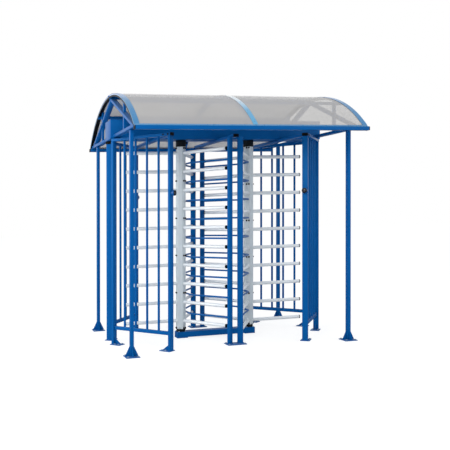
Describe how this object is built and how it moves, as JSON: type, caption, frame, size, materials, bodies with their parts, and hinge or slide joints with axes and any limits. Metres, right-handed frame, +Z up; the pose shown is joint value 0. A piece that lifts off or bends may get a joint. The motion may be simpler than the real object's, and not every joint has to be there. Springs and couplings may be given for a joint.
{
  "type": "full height turnstile",
  "caption": "Double full height turnstile with two interleaved three-wing rotors in a barred steel cage under an arched canopy on posts.",
  "frame": {"origin": "on the floor, midway between the two rotors and between front and back", "axes": "+X across the two lanes to the right, +Y from front to back along the way through, +Z up"},
  "size_m": [2.53, 2.34, 2.7223],
  "materials": {
    "blue_paint": "satin powder coat",
    "light_trim": "satin, blue tint",
    "rotor_alloy": "satin anodised",
    "machined_steel": "machined",
    "black_plastic": "moulded",
    "black_rubber": "extruded profile",
    "reader_housing": "satin",
    "smoked_sheet": "smoked translucent polycarbonate sheet"
  },
  "bodies": {
    "frame": {"base_beam": "blue_paint", "canopy_post_back_left": "blue_paint", "canopy_post_back_right": "blue_paint", "canopy_post_front_left": "blue_paint", "canopy_post_front_right": "blue_paint", "comb_left": "blue_paint", "comb_right": "blue_paint", "cover_strip_left": "light_trim", "cover_strip_middle": "light_trim", "cover_strip_right": "light_trim", "eaves_beam_back": "blue_paint", "eaves_beam_front": "blue_paint", "eaves_lip_back": "light_trim", "eaves_lip_front": "light_trim", "edge_seal_left": "black_rubber", "edge_seal_right": "black_rubber", "foot_bearing_left": "black_plastic", "foot_bearing_right": "black_plastic", "gable_left": "blue_paint", "gable_right": "blue_paint", "housing_cover": "blue_paint", "housing_tray": "blue_paint", "lock_unit_left": "machined_steel", "lock_unit_right": "machined_steel", "mid_plate_back": "blue_paint", "mid_plate_front": "blue_paint", "middle_rib": "blue_paint", "panel_back_left": "blue_paint", "panel_back_right": "blue_paint", "panel_front_left": "blue_paint", "panel_front_right": "blue_paint", "purlin_back": "blue_paint", "purlin_front": "blue_paint", "purlin_ridge": "blue_paint", "reader_back_left": "reader_housing", "reader_back_right": "reader_housing", "reader_front_left": "reader_housing", "reader_front_right": "reader_housing", "roof_sheet_left": "smoked_sheet", "roof_sheet_right": "smoked_sheet", "tie_left": "blue_paint", "tie_middle": "blue_paint", "tie_right": "blue_paint", "top_bearing_left": "machined_steel", "top_bearing_right": "machined_steel", "top_shroud_left": "black_plastic", "top_shroud_right": "black_plastic"},
    "rotor_left": {"shaft_left": "machined_steel", "lock_wheel_left": "machined_steel", "wing_left_1": "rotor_alloy", "wing_left_2": "rotor_alloy", "wing_left_3": "rotor_alloy"},
    "pawl_left": {"lock_pawl_left": "machined_steel"},
    "rotor_right": {"shaft_right": "machined_steel", "lock_wheel_right": "machined_steel", "wing_right_1": "rotor_alloy", "wing_right_2": "rotor_alloy", "wing_right_3": "rotor_alloy"},
    "pawl_right": {"lock_pawl_right": "machined_steel"}
  },
  "joints": [
    {"name": "rotor_left_spin", "type": "hinge", "parent": "frame", "child": "rotor_left", "pos_m": [-0.41, 0, 1.2], "axis": [0, 0, 1], "continuous": true},
    {"name": "rotor_right_spin", "type": "hinge", "parent": "frame", "child": "rotor_right", "pos_m": [0.41, 0, 1.2], "axis": [0, 0, 1], "continuous": true},
    {"name": "pawl_left_swing", "type": "hinge", "parent": "frame", "child": "pawl_left", "pos_m": [-0.304, -0.078, 2.292], "axis": [0, 0, 1], "range_deg": [0, 8]},
    {"name": "pawl_right_swing", "type": "hinge", "parent": "frame", "child": "pawl_right", "pos_m": [0.304, 0.078, 2.292], "axis": [0, 0, 1], "range_deg": [0, 8]}
  ]
}
